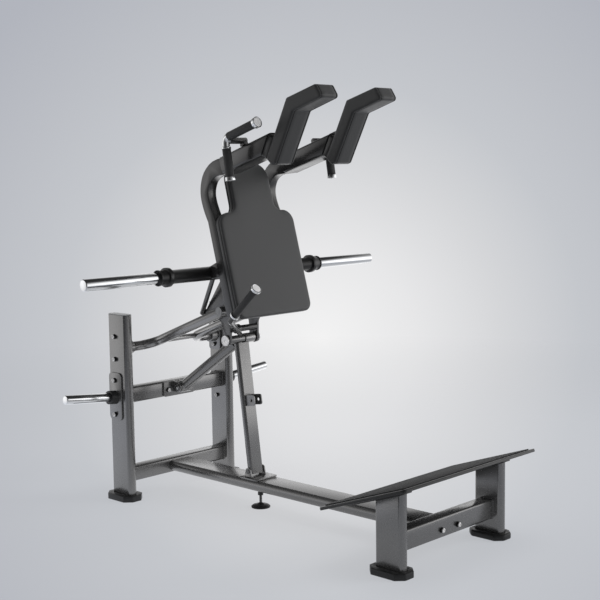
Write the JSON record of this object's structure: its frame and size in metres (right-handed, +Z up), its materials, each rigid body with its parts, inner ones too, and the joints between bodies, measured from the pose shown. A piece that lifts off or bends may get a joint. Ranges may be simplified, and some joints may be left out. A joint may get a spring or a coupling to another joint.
{
  "type": "squat machine",
  "caption": "Floor-standing lever squat machine: padded carriage with shoulder pads and loading horns on a swing-arm linkage, an inclined foot platform, plate pegs and a folding prop.",
  "frame": {"origin": "on the floor, under the middle of the machine's bounding box", "axes": "+Z up, +X to the machine's right as seen from the platform end, -Y towards the foot platform"},
  "size_m": [1.671, 1.7734, 1.7708],
  "materials": {
    "frame_grey": "satin metallic grey powder coat",
    "arm_silver": "satin silver-grey powder coat",
    "carriage_charcoal": "satin charcoal powder coat",
    "black_paint": "satin black paint",
    "chrome": "polished chrome",
    "rubber": "matt black rubber",
    "upholstery": "dark grey vinyl over foam",
    "tread": "matt tread mat"
  },
  "bodies": {
    "frame": {"upright_left": "frame_grey", "upright_right": "frame_grey", "rear_shoe_left": "rubber", "rear_shoe_right": "rubber", "front_shoe_left": "rubber", "front_shoe_right": "rubber", "front_leg_left": "frame_grey", "front_leg_right": "frame_grey", "lower_crossmember": "frame_grey", "upper_crossmember": "frame_grey", "front_crossmember": "frame_grey", "main_beam": "frame_grey", "platform_plate": "frame_grey", "tread_mat": "tread", "platform_rail_left": "frame_grey", "platform_rail_right": "frame_grey", "storage_plate_left": "frame_grey", "storage_plate_right": "frame_grey", "storage_peg_left": "chrome", "storage_peg_right": "chrome", "pivot_bearing_left": "frame_grey", "pivot_bearing_right": "frame_grey", "link_bracket": "carriage_charcoal", "link_pin": "chrome", "prop_base": "frame_grey", "prop_pin": "chrome"},
    "foot": {"levelling_foot": "rubber"},
    "swing_arm": {"arm_tube_left": "arm_silver", "arm_tube_right": "arm_silver", "arm_cross_tube": "arm_silver", "arm_brace": "arm_silver"},
    "link": {"lower_link": "carriage_charcoal"},
    "support_prop": {"prop": "arm_silver"},
    "carriage": {"coupler_left": "carriage_charcoal", "coupler_right": "carriage_charcoal", "lower_axle": "chrome", "bridge_bar": "carriage_charcoal", "lower_bar": "carriage_charcoal", "rail_left": "carriage_charcoal", "rail_right": "carriage_charcoal", "shoulder_arm_left": "carriage_charcoal", "shoulder_arm_right": "carriage_charcoal", "pad_mount_left": "black_paint", "pad_mount_right": "black_paint", "shoulder_pad_left": "upholstery", "shoulder_pad_right": "upholstery", "back_pad_board": "black_paint", "back_pad": "upholstery", "horn_sleeve": "black_paint", "horn_left": "chrome", "horn_right": "chrome", "upper_handle_left": "carriage_charcoal", "upper_handle_right": "carriage_charcoal", "upright_grip_left": "rubber", "upright_grip_right": "rubber", "inclined_grip_left": "rubber", "inclined_grip_right": "rubber"},
    "lever": {"release_lever": "carriage_charcoal", "lever_grip": "rubber"}
  },
  "joints": [
    {"name": "swing_arm_lift", "type": "hinge", "parent": "frame", "child": "swing_arm", "pos_m": [0, 0.8142, 0.675], "axis": [-1, 0, 0], "range_deg": [0, 10]},
    {"name": "carriage_tilt", "type": "hinge", "parent": "swing_arm", "child": "carriage", "pos_m": [0, 0.3372, 0.857], "axis": [-1, 0, 0], "range_deg": [-24.5, 0]},
    {"name": "link_lift", "type": "hinge", "parent": "frame", "child": "link", "pos_m": [0, 0.7342, 0.4757], "axis": [-1, 0, 0], "range_deg": [0, 13.9]},
    {"name": "prop_swing", "type": "hinge", "parent": "frame", "child": "support_prop", "pos_m": [0, 0.2722, 0.16], "axis": [1, 0, 0], "range_deg": [0, 75]},
    {"name": "lever_press", "type": "hinge", "parent": "carriage", "child": "lever", "pos_m": [0, 0.3342, 0.775], "axis": [1, 0, 0], "range_deg": [0, 20], "stiffness_Nm_per_rad": 20, "springref_deg": -20.05},
    {"name": "foot_turn", "type": "hinge", "parent": "frame", "child": "foot", "pos_m": [0, 0.2422, 0], "axis": [0, 0, 1], "continuous": true}
  ],
  "couplings": [
    {"joint": "carriage_tilt", "follows": "swing_arm_lift", "ratio": -2.44},
    {"joint": "link_lift", "follows": "swing_arm_lift", "ratio": 1.38}
  ]
}
